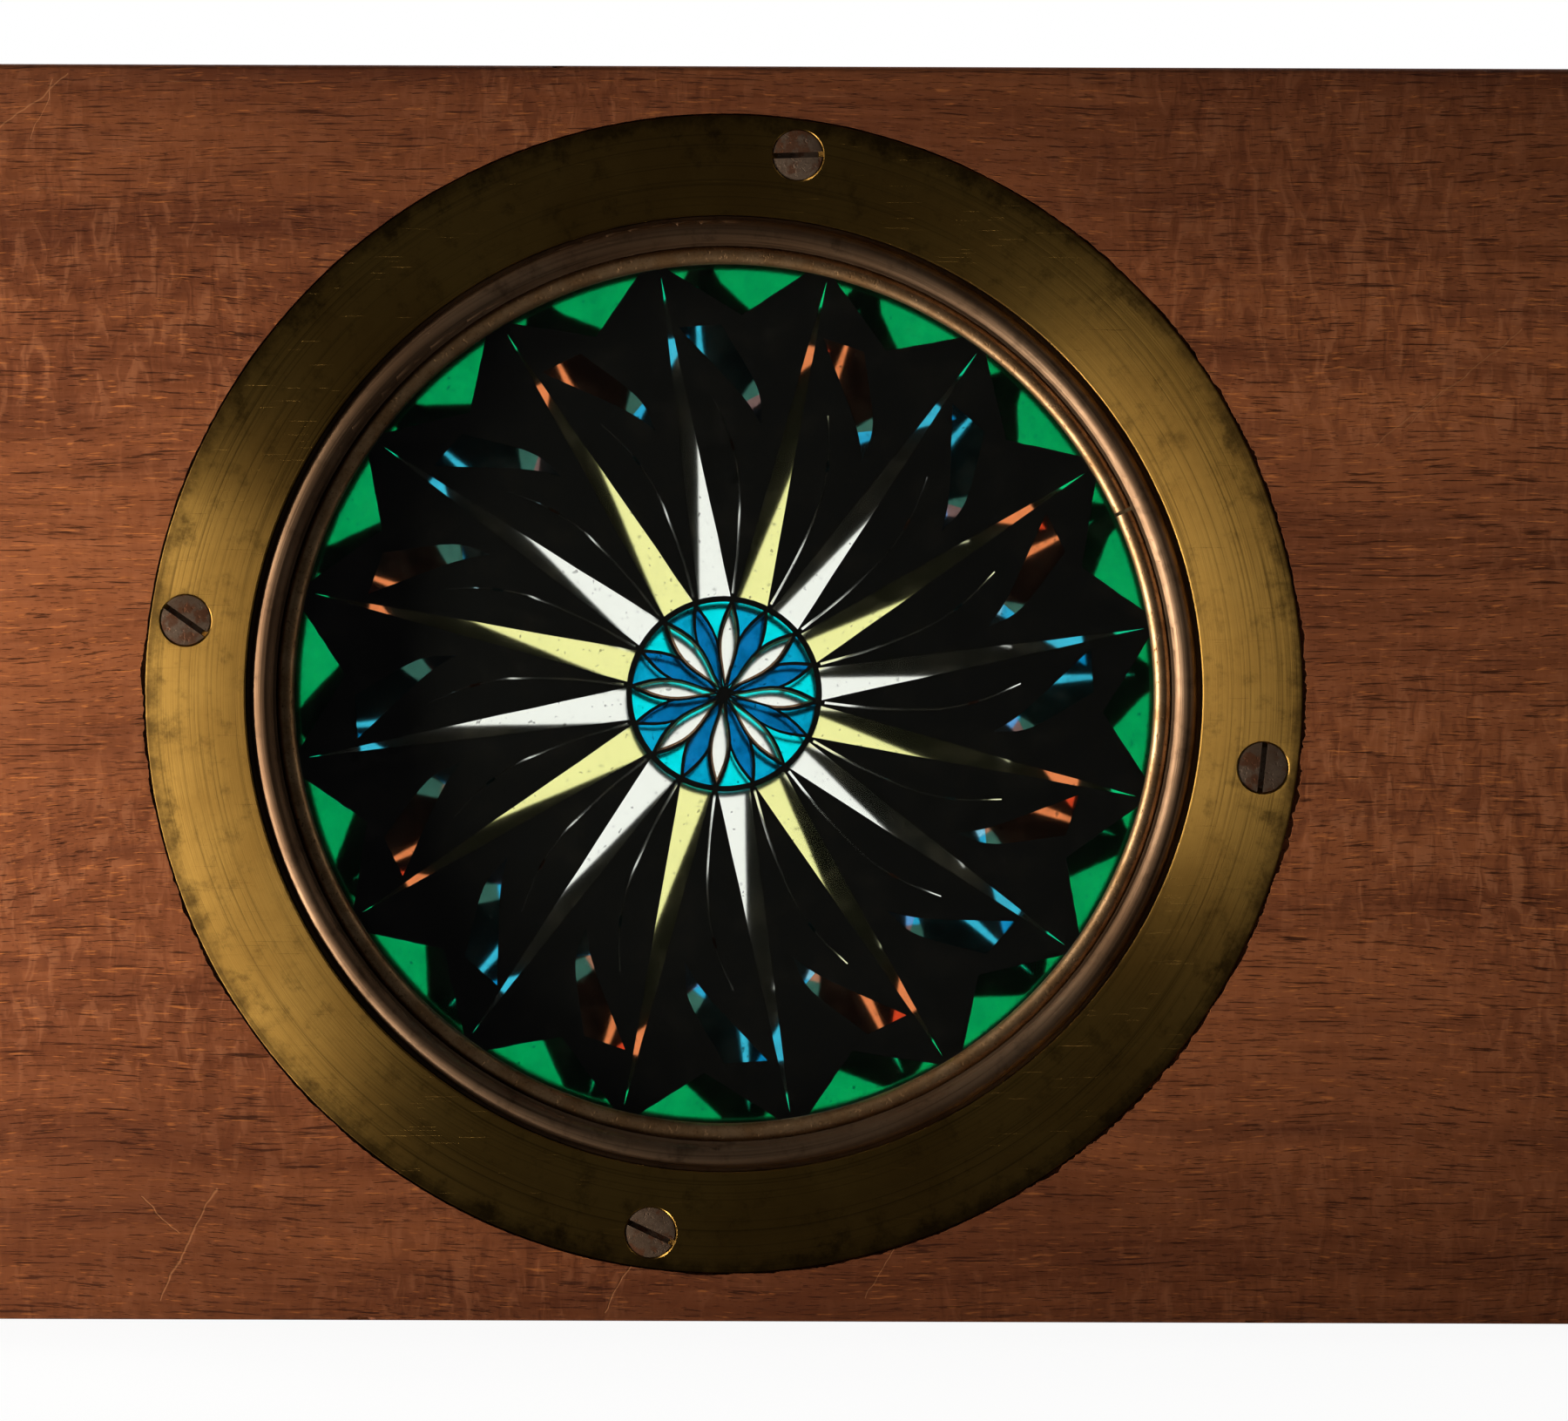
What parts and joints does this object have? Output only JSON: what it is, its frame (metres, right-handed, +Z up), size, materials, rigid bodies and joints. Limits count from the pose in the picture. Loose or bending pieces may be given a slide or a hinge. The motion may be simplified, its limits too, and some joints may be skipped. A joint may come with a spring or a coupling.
{
  "type": "mechanical lantern slide",
  "caption": "Wooden lantern slide with painted glass discs in brass cells that turn against each other, driven by a side crank through crown gears and a pinion.",
  "frame": {"origin": "middle of the board's long bottom edge face, under the optical axis", "axes": "+X along the board towards the crank, +Y through the board to the back, +Z up; the optical axis is parallel to Y at half the board's height"},
  "size_m": [0.1995, 0.019, 0.1016],
  "materials": {
    "mahogany": "old oiled mahogany",
    "cover_brass": "lathe-turned, tarnished",
    "cell_brass": "lathe-turned, browned",
    "disc_glass": "clear window glass, painted on one face",
    "disc_paint": "varnish colours and black paint on glass",
    "wire_brass": "drawn wire, browned",
    "screw_iron": "iron with light rust",
    "fitting_brass": "turned and filed, tarnished",
    "shaft_steel": "turned, dull",
    "knob_wood": "turned and polished dark wood"
  },
  "bodies": {
    "frame": {"mahogany_frame": "mahogany", "front_cover_ring": "cover_brass", "rear_cover_ring": "cover_brass", "front_ring_screw_1": "screw_iron", "front_ring_screw_2": "screw_iron", "front_ring_screw_3": "screw_iron", "front_ring_screw_4": "screw_iron", "rear_ring_screw_1": "screw_iron", "rear_ring_screw_2": "screw_iron", "rear_ring_screw_3": "screw_iron", "rear_ring_screw_4": "screw_iron", "inner_bush": "fitting_brass", "end_plate": "fitting_brass", "end_plate_screw_1": "screw_iron", "end_plate_screw_2": "screw_iron"},
    "front_disc": {"front_cell": "cell_brass", "front_glass": "disc_glass", "front_wire_ring": "wire_brass"},
    "rear_disc": {"rear_cell": "cell_brass", "rear_glass": "disc_glass", "rear_wire_ring": "wire_brass"},
    "crank": {"crank_shaft": "shaft_steel", "pinion": "fitting_brass", "pinion_pin": "screw_iron", "thrust_washer": "fitting_brass", "crank_arm": "fitting_brass", "crank_nut": "fitting_brass", "knob_spindle": "shaft_steel"},
    "knob": {"crank_knob": "knob_wood"}
  },
  "joints": [
    {"name": "crank_turn", "type": "hinge", "parent": "frame", "child": "crank", "pos_m": [0.0889, 0, 0.0508], "axis": [1, 0, 0], "continuous": true},
    {"name": "front_disc_turn", "type": "hinge", "parent": "frame", "child": "front_disc", "pos_m": [0, -0.0075, 0.0508], "axis": [0, 1, 0], "continuous": true},
    {"name": "rear_disc_turn", "type": "hinge", "parent": "frame", "child": "rear_disc", "pos_m": [0, 0.0075, 0.0508], "axis": [0, 1, 0], "continuous": true},
    {"name": "knob_spin", "type": "hinge", "parent": "crank", "child": "knob", "pos_m": [0.1029, 0, 0.0308], "axis": [1, 0, 0], "continuous": true}
  ],
  "couplings": [
    {"joint": "crank_turn", "follows": "front_disc_turn", "ratio": 8.5},
    {"joint": "rear_disc_turn", "follows": "front_disc_turn", "ratio": -1}
  ]
}
